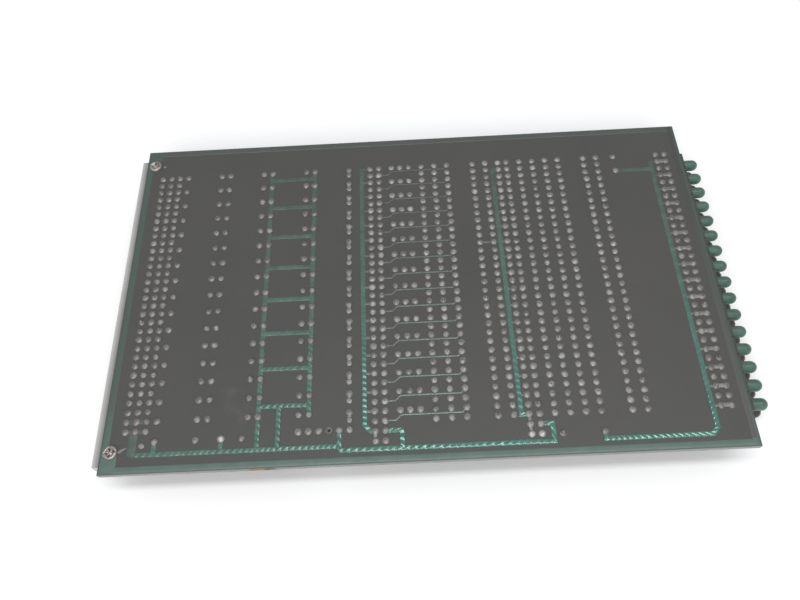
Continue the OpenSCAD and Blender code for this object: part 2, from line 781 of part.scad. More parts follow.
circuit_board();
copper_border();
supply_tracks();
signal_tracks();
via_caps();
connector_joints();
axial_joints();
transistor_joints();
network_joints();
chip_joints();
header_joints();
capacitor_joints();
lamp_joints();
lamp_links();
open_pad();
connector_housing();
connector_contacts();
connector_rivets();
input_resistors();
input_resistor_leads();
divider_resistors();
divider_resistor_leads();
clamp_diodes();
clamp_diode_leads();
pulldown_resistors();
pulldown_resistor_leads();
link_resistor();
link_resistor_leads();
supply_capacitor();
supply_capacitor_leads();
filter_capacitor();
filter_capacitor_leads();
supply_header();
supply_header_pins();
input_header();
input_header_pins();
output_header();
output_header_pins();
transistors();
transistor_leads();
driver_chips();
driver_chip_pins();
logic_chips();
logic_chip_pins();
input_networks();
input_network_pins();
pullup_networks();
pullup_network_pins();
centre_networks();
centre_network_pins();
lamp_networks();
lamp_network_pins();
lamp_holders();
near_lamps();
far_lamps();
lamp_leads();
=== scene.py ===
import json
import math
import random
from typing import NamedTuple

import bpy
import numpy as np
from mathutils import Matrix, Vector


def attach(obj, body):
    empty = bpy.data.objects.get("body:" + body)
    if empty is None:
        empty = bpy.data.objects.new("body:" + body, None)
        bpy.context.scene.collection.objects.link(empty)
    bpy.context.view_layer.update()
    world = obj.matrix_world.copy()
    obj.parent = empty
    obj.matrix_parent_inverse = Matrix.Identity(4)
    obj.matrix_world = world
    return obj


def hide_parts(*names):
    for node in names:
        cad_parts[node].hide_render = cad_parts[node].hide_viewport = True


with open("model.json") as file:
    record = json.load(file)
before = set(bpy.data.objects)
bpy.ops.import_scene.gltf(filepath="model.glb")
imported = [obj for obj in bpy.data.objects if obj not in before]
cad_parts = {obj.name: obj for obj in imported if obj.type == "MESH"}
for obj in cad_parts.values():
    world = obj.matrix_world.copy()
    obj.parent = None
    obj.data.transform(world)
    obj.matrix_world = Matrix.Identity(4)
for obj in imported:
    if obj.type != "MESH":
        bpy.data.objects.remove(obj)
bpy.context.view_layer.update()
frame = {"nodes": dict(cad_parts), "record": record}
nodes = frame["nodes"]

# Sizes repeated from the part's source, in millimetres
MM = 0.001
PITCH = 2.54
BOARD_L, BOARD_W = 160.0, 100.0
BOARD_X = -82.2
BOARD_END = BOARD_X + BOARD_L
MID_X = BOARD_X + BOARD_L / 2
BACK_Y, FRONT_Y = BOARD_W / 2, -BOARD_W / 2
COMP_Z, SOLD_Z = 11.0, 12.6
GRID_INSET, LAMP_INSET = 5.4, 4.74

# Rows and columns of the hole grid, repeated from the part's source and counted in pitches
ROWS = 32
LAST_ROW = ROWS - 1
EVEN_ROWS, ODD_ROWS = range(0, ROWS, 2), range(1, ROWS, 2)
FRONT_ROW, HEADER_ROW, LINK_ROW = ROWS + 0.1, ROWS - 0.25, ROWS + 1.05
BUS, LOW_BUS = ROWS + 1.35, ROWS + 1.77
AXIAL_SPAN, CAPACITOR_SPAN = 4, 2
INPUT_BANK, DIVIDER_BANK, CLAMP_BANK, PULLDOWN_BANK = 3, 8, 13, 18
LINK_COL, SUPPLY_CAPACITOR_COL, FILTER_COL = 42.5, 9.5, 53
LINK_END = LINK_COL + AXIAL_SPAN
PLUG_COL = 1
IN_LEFT, IN_RIGHT, OUT_LEFT, OUT_RIGHT = 24.5, 25.5, 39.5, 40.5
IN_RAIL, OUT_RAIL = IN_LEFT - 1, OUT_LEFT - 0.75
DRIVER_LEFT, DRIVER_RIGHT, PULLUP_COL = 33.5, 36.5, 38
LAMP_COL = (BOARD_L - LAMP_INSET - GRID_INSET) / PITCH
LAMP_RAIL = LAMP_COL - 1.8

# Seeds of the random shapes: the first of the joints' seeds, and those of the other pieces
FIRST_JOINT_SEED = 11
VIA_CAP_SEED, SPLASH_SEED, RIVET_SEED, TRACK_SEED = 21, 22, 23, 31


def col(n):
    """X of a column of holes."""
    return BOARD_X + GRID_INSET + n * PITCH


def row(r):
    """Y of a row of holes, counted from the back."""
    return (LAST_ROW / 2 - r) * PITCH


def placed(path):
    """A path of columns and rows, in millimetres."""
    return [(col(n), row(r)) for n, r in path]


class Look:
    """A node material, with short calls for the nodes it uses. Places are the part's, in millimetres."""

    # Sockets of the colour mix node: the factor, the two colours and the result
    MIX_FACTOR, MIX_FROM, MIX_TO, MIX_RESULT = 0, 6, 7, 2

    def __init__(self, name):
        self.material = bpy.data.materials.new(name)
        self.material.use_nodes = True
        self.tree = self.material.node_tree
        self.shader = next(n for n in self.tree.nodes if n.type == "BSDF_PRINCIPLED")
        self.place = self.add("ShaderNodeTexCoord").outputs["Object"]

    def feed(self, socket, value):
        """Link an input to a socket, or set it to a plain value, with full alpha on a colour."""
        if isinstance(value, bpy.types.NodeSocket):
            self.tree.links.new(value, socket)
            return
        held = socket.default_value
        if hasattr(held, "__len__") and len(held) == 4 and len(value) == 3:
            value = (*value, 1.0)
        socket.default_value = value

    def add(self, kind, inputs=None, **settings):
        """A new node, with its settings and inputs."""
        node = self.tree.nodes.new(kind)
        for key, value in settings.items():
            setattr(node, key, value)
        for key, value in (inputs or {}).items():
            self.feed(node.inputs[key], value)
        return node

    def shade(self, **values):
        """Feed the shader's inputs, named with underscores for spaces."""
        for key, value in values.items():
            self.feed(self.shader.inputs[key.replace("_", " ")], value)

    def stretched(self, x, y, z):
        """The place, scaled along each axis by itself."""
        node = self.add("ShaderNodeMapping", {"Vector": self.place, "Scale": (x, y, z)})
        return node.outputs["Vector"]

    def noise(self, scale, detail=3.0, roughness=0.5, at=None):
        """Cloudy values about a half, finer with a higher scale."""
        inputs = {"Vector": at or self.place, "Scale": scale, "Detail": detail, "Roughness": roughness}
        return self.add("ShaderNodeTexNoise", inputs).outputs["Fac"]

    def mottle(self, scale, low, high, detail=3.0, roughness=0.5, start=0.3, end=0.7, at=None):
        """A colour or grey that wanders from low to high, as noise goes from start to end."""
        node = self.add("ShaderNodeValToRGB", {"Fac": self.noise(scale, detail, roughness, at)})
        for element, level, tone in zip(node.color_ramp.elements, (start, end), (low, high)):
            element.position = level
            element.color = (*tone, 1.0) if hasattr(tone, "__len__") else (tone, tone, tone, 1.0)
        return node.outputs["Color"]

    def mix(self, factor, a, b, blend="MIX"):
        """Colour a, turned to b by a factor."""
        inputs = {self.MIX_FACTOR: factor, self.MIX_FROM: a, self.MIX_TO: b}
        node = self.add("ShaderNodeMix", inputs, data_type="RGBA", blend_type=blend)
        return node.outputs[self.MIX_RESULT]

    def maths(self, operation, a, b=0.0):
        """The result of a plain sum or test."""
        return self.add("ShaderNodeMath", {0: a, 1: b}, operation=operation).outputs[0]

    def times(self, a, b):
        """The product of two values."""
        return self.maths("MULTIPLY", a, b)

    def above(self, value, limit):
        """1 where a place lies past a limit, and 0 elsewhere."""
        return self.maths("GREATER_THAN", value, limit * MM)

    def below(self, value, limit):
        """1 where a place lies before a limit, and 0 elsewhere."""
        return self.maths("LESS_THAN", value, limit * MM)

    def between(self, value, low, high):
        """1 where a place lies between two limits, and 0 elsewhere."""
        return self.times(self.above(value, low), self.below(value, high))

    def outside(self, value, middle, half):
        """1 where a place lies more than half from a middle, and 0 elsewhere."""
        return self.above(self.maths("ABSOLUTE", self.maths("SUBTRACT", value, middle * MM)), half)

    def fade(self, value, start, end):
        """0 at the place start, 1 at the place end and even between them."""
        inputs = {"Value": value, "From Min": start * MM, "From Max": end * MM}
        return self.add("ShaderNodeMapRange", inputs).outputs[0]

    def spot(self, x, y, wide, deep):
        """1 at a place on the board, falling to 0 at wide and deep from it."""
        at = self.add("ShaderNodeMapping", {
            "Vector": self.place,
            "Location": (-x / wide, -y / deep, 0),
            "Scale": (1 / (wide * MM), 1 / (deep * MM), 0),
        }).outputs["Vector"]
        return self.add("ShaderNodeTexGradient", {"Vector": at}, gradient_type="SPHERICAL").outputs["Fac"]

    def parts(self, vector):
        """X, Y and Z of a vector."""
        return self.add("ShaderNodeSeparateXYZ", {0: vector}).outputs

    def upward(self):
        """1 on a face that looks up, 0 on a wall and -1 on a face that looks down."""
        return self.parts(self.add("ShaderNodeNewGeometry").outputs["True Normal"])[2]

    def bump(self, height, depth, strength, under=None):
        """Fine relief for the shader, over another relief where one is given."""
        inputs = {"Height": height, "Distance": depth * MM, "Strength": strength}
        if under:
            inputs["Normal"] = under
        normal = self.add("ShaderNodeBump", inputs).outputs["Normal"]
        self.shade(Normal=normal)
        return normal


# Smudges on the mask, as (x, y, reach along X, reach along Y)
SMUDGES = ((-50.8, -30.0, 3.5, 2.5), (-48.3, -36.2, 3.0, 4.5), (-51.5, -34.2, 2.6, 4.0))

# Marks along the front edge, as (start, end, strength, colour), and how ragged their ends are
STAIN = (-44.4, -39.0, 0.95, (0.24, 0.115, 0.045))
NICK = (-40.5, -37.8, 0.8, (0.045, 0.035, 0.028))
RAGGED = 2.0

# Depths from the board's edge: of the rim, its greener front with painted reflection, the front edge's marks
# and the cut face
BARE_RIM, GREEN_RIM, FRONT_RIM, CUT_RIM = 0.32, 0.4, 0.5, 0.1

# A face turned further than this from flat counts as a wall
STEEP = 0.5

# Where painted reflection makes the tracks greener and brighter, towards the front and towards the right
TRACK_LIT_Y, TRACK_LIT_X = (30, -40), (-50, 0)

# Where the painted reflection on the border changes along Y, and the depths of its sides and of its right
# rim
BORDER_AHEAD, BORDER_CORNER = (30, -20), (-30, -47)
BORDER_DEPTH, BORDER_LEFT_DEPTH, BORDER_RIM = 2.1, 4.5, 0.7

# How far the painted shade on the connector's top reaches from the board's edge
SHADE_REACH = 2.2


def near_edge(look, x, y, depth):
    """1 within a depth of the board's edges, and 0 elsewhere."""
    return look.maths("MAXIMUM", look.outside(x, MID_X, BOARD_L / 2 - depth),
                      look.outside(y, 0, BOARD_W / 2 - depth))


def mask_tone(look, x, y):
    """Dark mask with dust all over it, grime in a few places and a greener rim, brighter along the front as
    a painted reflection.
    """
    tone = look.mottle(28, (0.054, 0.055, 0.0515), (0.062, 0.0595, 0.057), 5, 0.6, start=0.32)
    dust = look.mottle(900, 0.0, 0.3, 4, 0.7, start=0.62, end=0.8)
    tone = look.mix(dust, tone, (0.105, 0.103, 0.096))
    grime_and_shade = look.mottle(420, 0.0, 0.45, 4, 0.65, start=0.4)
    for smudge in SMUDGES:
        tone = look.mix(look.times(look.spot(*smudge), grime_and_shade), tone, (0.113, 0.111, 0.104))
    # The rim is tinted like the border, and greener and brighter along the front as a painted reflection
    rim = look.mix(look.below(y, FRONT_Y + GREEN_RIM), (0.052, 0.074, 0.063), (0.085, 0.112, 0.100))
    return look.mix(near_edge(look, x, y, BARE_RIM), tone, rim)


def cut_edge_tone(look, x, y):
    """Layers of glass and resin, with a brown stain and a dark nick on the front edge."""
    layers = look.stretched(260, 260, 9000)
    tone = look.mottle(1, (0.18, 0.176, 0.169), (0.27, 0.262, 0.255), 3, 0.6, 0.35, 0.65, layers)
    ragged = look.maths("ADD", x, look.times(look.noise(700), RAGGED * MM))
    front = look.below(y, FRONT_Y + FRONT_RIM)
    for start, end, strength, colour in (STAIN, NICK):
        marked = look.times(look.between(ragged, start, end), front)
        tone = look.mix(look.times(marked, strength), tone, colour)
    return tone


def board_look():
    """Matt mask with a faint weave on both faces, bare laminate on the cut edges, tin in the holes."""
    look = Look("mask_on_laminate")
    x, y = look.parts(look.place)[:2]
    wall = look.maths("LESS_THAN", look.maths("ABSOLUTE", look.upward()), STEEP)
    wall_tone = look.mix(near_edge(look, x, y, CUT_RIM), (0.5, 0.48, 0.46), cut_edge_tone(look, x, y))
    look.shade(Base_Color=look.mix(wall, mask_tone(look, x, y), wall_tone),
               Roughness=look.mottle(120, 0.42, 0.56, 4, 0.6))
    weave = look.maths("ADD", look.noise(1, 1, 0.3, look.stretched(2200, 300, 300)),
                       look.noise(1, 1, 0.3, look.stretched(300, 2200, 300)))
    woven = look.bump(weave, 0.02, 0.35)
    look.bump(look.noise(5000, 2), 0.01, 0.4, woven)
    return look.material


def track_look(name, shaded_tone, lit_tone, metallic):
    """Tin under a thin mask, glossy at the front right, with a painted reflection in its colour: dull
    towards the back and left, clear green at the front right.
    """
    look = Look(name)
    x, y = look.parts(look.place)[:2]
    ahead, along = look.fade(y, *TRACK_LIT_Y), look.fade(x, *TRACK_LIT_X)
    # Painted reflection: the tone goes from the darker back tone to the brighter front tone, and stays
    # greyer on the left
    half_lit_tone = tuple(0.55 * d + 0.45 * c for d, c in zip(shaded_tone, lit_tone))
    tone = look.mix(ahead, shaded_tone, look.mix(along, half_lit_tone, lit_tone))
    uneven = look.mottle(380, 0.8, 1.2, roughness=0.6, end=0.72)
    shine = look.times(ahead, look.maths("ADD", look.times(along, 0.6), 0.4))
    look.shade(Base_Color=look.mix(1.0, tone, uneven, "MULTIPLY"), Metallic=metallic,
               Coat_Weight=look.times(shine, 0.9), Coat_Roughness=0.12,
               Roughness=look.mix(shine, (0.6, 0.6, 0.6), look.mottle(900, 0.22, 0.34)))
    look.bump(look.noise(2600), 0.02, 0.3)
    return look.material


def border_look():
    """The same mask over the border strip, with a painted reflection: green along the front and left, duller
    along the other edges, and brighter and greener towards the front.
    """
    look = Look("mask_over_border")
    x, y = look.parts(look.place)[:2]
    tone = look.mottle(300, (0.062, 0.070, 0.063), (0.075, 0.083, 0.076), roughness=0.6, end=0.72)
    green = look.mottle(300, (0.073, 0.120, 0.101), (0.090, 0.144, 0.121), roughness=0.6, end=0.72)
    ahead, corner = look.fade(y, *BORDER_AHEAD), look.fade(y, *BORDER_CORNER)
    # Painted reflection: the right side brightens, and the left side and the right rim turn greener, towards
    # the front
    right = look.mix(ahead, (0.050, 0.055, 0.050), (0.076, 0.078, 0.071))
    left = look.mix(corner, (0.058, 0.087, 0.074), (0.080, 0.132, 0.110))
    rim = look.mix(corner, (0.057, 0.080, 0.068), (0.085, 0.130, 0.108))
    for where, there in (
        (look.above(x, BOARD_END - BORDER_DEPTH), right),
        (look.below(x, BOARD_X + BORDER_LEFT_DEPTH), left),
        (look.above(x, BOARD_END - BORDER_RIM), rim),
        (look.below(y, FRONT_Y + BORDER_DEPTH), green),
    ):
        tone = look.mix(where, tone, there)
    look.shade(Base_Color=tone, Metallic=0.15, Coat_Weight=0.3, Coat_Roughness=0.3,
               Roughness=look.mottle(900, 0.36, 0.5))
    look.bump(look.noise(2600), 0.01, 0.4)
    return look.material


def solder_look(name, low, high):
    """Dull metal with a fine grain, browned in places by flux."""
    look = Look(name)
    tone = look.mottle(420, low, high, 4, 0.6, 0.28, 0.66)
    flux = look.mottle(260, 0.0, 0.5, roughness=0.6, start=0.58, end=0.72)
    look.shade(Base_Color=look.mix(flux, tone, (0.20, 0.175, 0.155)), Metallic=1.0,
               Roughness=look.mottle(1500, 0.5, 0.66))
    look.bump(look.noise(5200), 0.03, 0.5)
    return look.material


def metal_look(name, low, high, rough=(0.25, 0.42), scale=700):
    """Plated or drawn metal, with a grain finer than its blotches."""
    look = Look(name)
    look.shade(Base_Color=look.mottle(scale, low, high, roughness=0.6), Metallic=1.0,
               Roughness=look.mottle(scale * 2, *rough))
    look.bump(look.noise(scale * 6, 2), 0.01, 0.5)
    return look.material


def plastic_look(name, low, high, rough=(0.4, 0.55), grain=2600, depth=0.015, coat=0.0):
    """Moulded plastic, with a clear coat where one is given."""
    look = Look(name)
    look.shade(Base_Color=look.mottle(160, low, high, 4, 0.6), Coat_Weight=coat,
               Roughness=look.mottle(grain / 4, *rough))
    look.bump(look.noise(grain, 3, 0.6), depth, 0.6)
    return look.material


def banded_look(name, middle, low, high, bands, rough=(0.22, 0.36)):
    """A lacquered axial body with rings of colour: bands are (centre, width, colour), from its middle."""
    look = Look(name)
    x = look.parts(look.place)[0]
    tone = look.mottle(500, low, high)
    for centre, width, colour in bands:
        at = middle + centre
        tone = look.mix(look.between(x, at - width / 2, at + width / 2), tone, colour)
    look.shade(Base_Color=tone, Coat_Weight=0.3, Coat_Roughness=0.15, Roughness=look.mottle(1200, *rough))
    look.bump(look.noise(1500), 0.02, 0.5)
    return look.material


def lens_look(name, low, high):
    """Cloudy coloured resin."""
    look = Look(name)
    look.shade(Base_Color=look.mottle(300, low, high, 2), IOR=1.54, Transmission_Weight=0.2,
               Subsurface_Weight=0.4, Subsurface_Radius=(0.6, 1.0, 0.7), Subsurface_Scale=0.001,
               Roughness=look.mottle(800, 0.32, 0.45))
    look.bump(look.noise(1800, 2), 0.01, 0.4)
    return look.material


def connector_look():
    """Pale moulding, with painted shade darkening its top where it runs under the board."""
    look = Look("pale_moulding")
    x = look.parts(look.place)[0]
    away = look.maths("ABSOLUTE", look.maths("SUBTRACT", x, BOARD_X * MM))
    # Painted shade: the top faces darken towards the board's edge, where the board shades them
    grime_and_shade = look.times(look.fade(away, SHADE_REACH, 0.0), look.maths("GREATER_THAN", look.upward(), STEEP))
    tone = look.mottle(160, (0.42, 0.41, 0.395), (0.50, 0.49, 0.475), 4, 0.6)
    look.shade(Base_Color=look.mix(grime_and_shade, tone, (0.085, 0.083, 0.078)),
               Roughness=look.mottle(650, 0.42, 0.6))
    look.bump(look.noise(2600, 3, 0.6), 0.015, 0.6)
    return look.material


# Materials, each from its darker to its paler tone
SOLDER = solder_look("bright_solder", (0.212, 0.204, 0.197), (0.365, 0.357, 0.346))
FRESH_SOLDER = solder_look("fresh_solder", (0.34, 0.33, 0.32), (0.58, 0.57, 0.56))
DULL_SOLDER = solder_look("dull_solder", (0.180, 0.170, 0.163), (0.310, 0.298, 0.288))
CUT_END = metal_look("cut_lead_end", (0.165, 0.152, 0.143), (0.30, 0.282, 0.266), (0.5, 0.66))
# In each track look the first tone is the shaded back and the second the lit front of a painted reflection
TRACK = track_look("mask_over_tin", (0.088, 0.126, 0.108), (0.068, 0.184, 0.147), 0.5)
THIN_TRACK = track_look("mask_over_copper", (0.114, 0.124, 0.114), (0.134, 0.184, 0.158), 0.4)
PLUG_TRACK = track_look("dull_mask_over_tin", (0.078, 0.104, 0.090), (0.083, 0.119, 0.102), 0.4)
BORDER = border_look()
HOLDER = plastic_look("holder_moulding", (0.040, 0.044, 0.040), (0.062, 0.067, 0.061))
BLACK = plastic_look("black_moulding", (0.012, 0.012, 0.012), (0.028, 0.027, 0.026))
SHELL = plastic_look("grey_moulding", (0.34, 0.335, 0.32), (0.43, 0.42, 0.40), (0.42, 0.6))
GOLD = metal_look("thin_gold", (0.60, 0.44, 0.16), (0.78, 0.60, 0.27))
TIN = metal_look("tinned_wire", (0.44, 0.43, 0.41), (0.62, 0.60, 0.58))
OLD_TIN = metal_look("oxidised_pad", (0.15, 0.148, 0.140), (0.22, 0.216, 0.205), (0.55, 0.7))
RIVET = metal_look("dull_rivet", (0.28, 0.25, 0.23), (0.46, 0.43, 0.407), (0.34, 0.52), 500)
SPLIT_DARK = metal_look("rivet_split_dark", (0.09, 0.075, 0.066), (0.20, 0.17, 0.15), (0.5, 0.7), 900)
NETWORK = plastic_look("dipped_network", (0.03, 0.022, 0.02), (0.06, 0.045, 0.04),
                       rough=(0.22, 0.4), grain=1400, depth=0.03, coat=0.4)
CAPACITOR = plastic_look("capacitor_box", (0.16, 0.035, 0.025), (0.24, 0.065, 0.045), (0.3, 0.45))
GREEN = lens_look("green_resin", (0.052, 0.126, 0.092), (0.083, 0.170, 0.128))
# Red resin darkened to a brown-grey: partly its own colour, partly painted shade
RED = lens_look("dark_red_resin", (0.055, 0.034, 0.030), (0.085, 0.056, 0.050))

# Colours and places of the rings on the axial parts, from the body's middle
BROWN, DARK, ORANGE = (0.10, 0.03, 0.012), (0.012, 0.012, 0.012), (0.55, 0.14, 0.02)
YELLOW, VIOLET = (0.60, 0.42, 0.03), (0.12, 0.03, 0.16)
RED_RING, GOLD_RING, PALE_RING = (0.38, 0.03, 0.02), (0.42, 0.28, 0.08), (0.5, 0.5, 0.48)
TAN_LOW, TAN_HIGH = (0.36, 0.24, 0.12), (0.52, 0.37, 0.21)
RING_PLACES, RING_W = (-2.3, -0.85, 0.1, 2.3), 0.6
DIODE_RING = (-1.7, 0.7, PALE_RING)


def axial_middle(first_column):
    """X of the middle of an axial part, from its first column."""
    return col(first_column + AXIAL_SPAN / 2)


def ringed(name, first_column, *colours):
    """A resistor's lacquer with three rings and a gold one."""
    bands = [(place, RING_W, colour) for place, colour in zip(RING_PLACES, (*colours, GOLD_RING))]
    return banded_look(name, axial_middle(first_column), TAN_LOW, TAN_HIGH, bands)


by_slot = {
    "solder": SOLDER, "connector_plastic": SHELL, "contact_gold": GOLD, "rivet_metal": RIVET,
    "lead_tin": TIN, "black_epoxy": BLACK, "network_case": NETWORK, "capacitor_case": CAPACITOR,
    "green_lens": GREEN, "red_lens": RED, "track_mask": TRACK, "mask_laminate": board_look(),
}
by_node = {
    "connector_housing": connector_look(),
    "lamp_holders": HOLDER,
    "open_pad": OLD_TIN,
    "input_resistors": ringed("input_resistor_lacquer", INPUT_BANK, YELLOW, VIOLET, RED_RING),
    "divider_resistors": ringed("divider_resistor_lacquer", DIVIDER_BANK, BROWN, DARK, ORANGE),
    "pulldown_resistors": ringed("pulldown_resistor_lacquer", PULLDOWN_BANK, BROWN, DARK, ORANGE),
    "link_resistor": ringed("link_resistor_lacquer", LINK_COL, RED_RING, RED_RING, BROWN),
    "clamp_diodes": banded_look("diode_moulding", axial_middle(CLAMP_BANK), (0.014, 0.014, 0.014),
                                (0.03, 0.03, 0.03), [DIODE_RING], (0.3, 0.45)),
}
for part in frame["record"]["subparts"]:
    look = by_node.get(part["node"]) or by_slot[part["material_slot"]]
    for slot in nodes[part["node"]].material_slots:
        slot.material = look


def piece(name, points, faces, looks, replaced=(), which=None, sharp=None):
    """A new smooth mesh on the part's one body, from points in millimetres.

    which gives each face's place in looks, and edges past the angle sharp, in degrees, stay sharp.
    """
    mesh = bpy.data.meshes.new(name)
    mesh.from_pydata((np.asarray(points, float) * MM).tolist(), [], faces)
    for look in looks:
        mesh.materials.append(look)
    if which is not None:
        mesh.polygons.foreach_set("material_index", which)
    mesh.polygons.foreach_set("use_smooth", [True] * len(mesh.polygons))
    if sharp:
        mesh.set_sharp_from_angle(angle=math.radians(sharp))
    mesh.update()
    obj = bpy.data.objects.new(name, mesh)
    bpy.context.collection.objects.link(obj)
    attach(obj, "root")
    if replaced:
        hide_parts(*replaced)


def centres(node):
    """Middle of each separate solid of a CAD node, in millimetres, ordered along X and then Y."""
    mesh = nodes[node].data
    points = np.empty(len(mesh.vertices) * 3)
    mesh.vertices.foreach_get("co", points)
    points = points.reshape(-1, 3) / MM
    edges = np.empty(len(mesh.edges) * 2, dtype=np.int64)
    mesh.edges.foreach_get("vertices", edges)
    # Points in one place get one number, and then each solid gets the lowest number among its points
    microns = np.round(points * 1000).astype(np.int64)
    _, joined = np.unique(microns, axis=0, return_inverse=True)
    joined = joined.ravel()
    edges = joined[edges.reshape(-1, 2)]
    label = np.arange(joined.max() + 1)
    while True:
        low = np.minimum(label[edges[:, 0]], label[edges[:, 1]])
        after = label.copy()
        np.minimum.at(after, edges[:, 0], low)
        np.minimum.at(after, edges[:, 1], low)
        after = after[after]
        if (after == label).all():
            break
        label = after
    label = label[joined]
    spots = []
    for k in np.unique(label):
        solid = points[label == k]
        middle = (solid.min(0) + solid.max(0)) / 2
        spots.append((round(middle[0], 3), round(middle[1], 3)))
    return sorted(spots)


# Rings of points that make up joints, caps and pads
SIDES = 20
TURN = np.linspace(0, 2 * math.pi, SIDES, endpoint=False)
COS, SIN = np.cos(TURN), np.sin(TURN)


def tube_faces(start, rings, sides=SIDES, inward=False):
    """Quads between rings of points, the first of which starts at the point numbered start."""
    faces = []
    for i in range(rings - 1):
        for k in range(sides):
            a, b = start + i * sides + k, start + i * sides + (k + 1) % sides
            faces.append((a, a + sides, b + sides, b) if inward else (a, b, b + sides, a + sides))
    return faces


def fan_faces(start, sides=SIDES):
    """Triangles from a ring of points to the one point after it."""
    return [(start + k, start + (k + 1) % sides, start + sides) for k in range(sides)]


class JointKind(NamedTuple):
    """What the joints of one node share, in millimetres.

    lead is half the lead's section along X and Y and the power of its outline: 2 for a round lead, and
    more for a square one. top is the solder's height, and tip is how far a lead end stands out of it.
    lean and slope are the most that a lead end leans aside and that its cut slopes.
    """
    solder: bpy.types.Material
    lead: tuple
    pad_r: float
    top: float
    tip: float
    lean: float = 0.05
    slope: float = 0.2


ROUND, FLAT, SQUARE = (0.33, 0.33, 2.0), (0.21, 0.31, 3.0), (0.35, 0.35, 4.5)
TRANSISTOR_LEAD, LAMP_LEAD = (0.27, 0.27, 4.0), (0.29, 0.29, 4.0)
JOINTS = {
    "connector_joints": JointKind(DULL_SOLDER, SQUARE, 0.94, 0.6, 0.2),
    "axial_joints": JointKind(DULL_SOLDER, ROUND, 0.95, 0.64, 0.16, 0.09, 0.3),
    "transistor_joints": JointKind(SOLDER, TRANSISTOR_LEAD, 0.93, 0.64, 0.16, 0.08),
    "network_joints": JointKind(SOLDER, FLAT, 0.93, 0.6, 0.2),
    "chip_joints": JointKind(SOLDER, FLAT, 0.95, 0.6, 0.2),
    "header_joints": JointKind(SOLDER, SQUARE, 0.96, 0.64, 0.2),
    "capacitor_joints": JointKind(DULL_SOLDER, ROUND, 0.95, 0.66, 0.2, 0.08, 0.3),
    "lamp_joints": JointKind(DULL_SOLDER, LAMP_LEAD, 0.94, 0.6, 0.2),
}

# Share of the joints that close over their lead, and of those the share with its end flush on top
CLOSED_SHARE, FLUSH_SHARE = 0.9, 0.4

# Radius at which such a joint closes, and how far its middle lies above that
CLOSED_R, FLUSH_R = 0.12, 0.25
CLOSED_CROWN, FLUSH_CROWN = 0.01, -0.02

# Share of the height that a closed joint keeps, and heights of the pad's edge, foot and highest lead end
CLOSED_TOP = 0.82
PAD_EDGE_H, FOOT_H, HIGHEST_END = 0.06, 0.1, 1.14

# Steps up a joint as shares of its height, and the power by which a hollow one narrows
CLIMB = (0.0, 0.1, 0.22, 0.36, 0.52, 0.7, 0.86, 1.0)
FILLET_POWER = 1.25

# Places of the looks in a joint's list of them
FILLET_LOOK, END_LOOK, FRESH_LOOK = 0, 1, 2

# Solder's edge as shares of the pad's radius: its mean, and how oval and how three-sided it is
WET_R, WET_OVAL, WET_LOBES = 0.97, 0.03, 0.02

# Radii as shares of the solder's edge: on the board, at the pad's edge and where a hollow fillet starts
BASE_R, PAD_EDGE_R, FILLET_R = 1.02, 1.01, 0.97

# Ranges between which joints differ: shares of height, pad and lead end, and the hollow of the fillet
TOP_SHARES, PAD_SHARES, TIP_SHARES, HOLLOWS = (0.82, 1.0), (1.0, 1.08), (0.45, 1.0), (0.85, 1.5)

# Share by which the solder climbs higher on one side of a joint
UNEVEN_CLIMB = 0.18

# Last rings of a lead end, as (share of the lead's radius, height from its end, share of its lean)
LEAD_END = ((0.98, -0.05, 1.1), (0.84, 0.0, 1.15))

# Joints with more and brighter solder than the others
FRESH_JOINTS = placed([(OUT_LEFT, ROWS + 1), (OUT_RIGHT, ROWS + 1), (SUPPLY_CAPACITOR_COL, FRONT_ROW)])
FRESH_REACH = 0.5
FRESH_TOP, FRESH_PAD = 1.15, 1.05


def joint_rings(rng, lead, pad_r, top, tip, lean, slope, end_r):
    """Rings of points up one joint.

    It is a rounded mound that closes at the radius end_r, or a hollow fillet round a lead end where there is
    no end_r.
    """
    half_x, half_y, power = lead
    lead_r = (np.abs(COS / half_x) ** power + np.abs(SIN / half_y) ** power) ** (-1 / power)
    pull = [rng.uniform(0, 2 * math.pi) for _ in range(3)]
    oval, lobes = WET_OVAL * np.cos(2 * TURN + pull[0]), WET_LOBES * np.cos(3 * TURN + pull[1])
    wet = pad_r * (WET_R + oval + lobes)
    climb = 1 + UNEVEN_CLIMB * np.cos(TURN + pull[2])
    hollow = rng.uniform(*HOLLOWS)
    rings = [(wet * BASE_R, np.zeros(SIDES), 0.0), (wet * PAD_EDGE_R, np.full(SIDES, PAD_EDGE_H), 0.0)]
    for u in CLIMB:
        if end_r:
            r = end_r + (wet - end_r) * (1 - u) ** 0.5
        else:
            r = lead_r + (wet * FILLET_R - lead_r) * (1 - u ** FILLET_POWER) ** hollow
        rings.append((r, FOOT_H + (top - FOOT_H) * u * (1 + (climb - 1) * u), u))
    if not end_r:
        tilt = (slope[0] * COS + slope[1] * SIN) * lead_r
        end = min(top * climb.max() + tip, HIGHEST_END - tilt.max())
        rings += [(lead_r * share, end + step + tilt, u) for share, step, u in LEAD_END]
    return [np.column_stack([r * COS + lean[0] * u, r * SIN + lean[1] * u, z]) for r, z, u in rings]


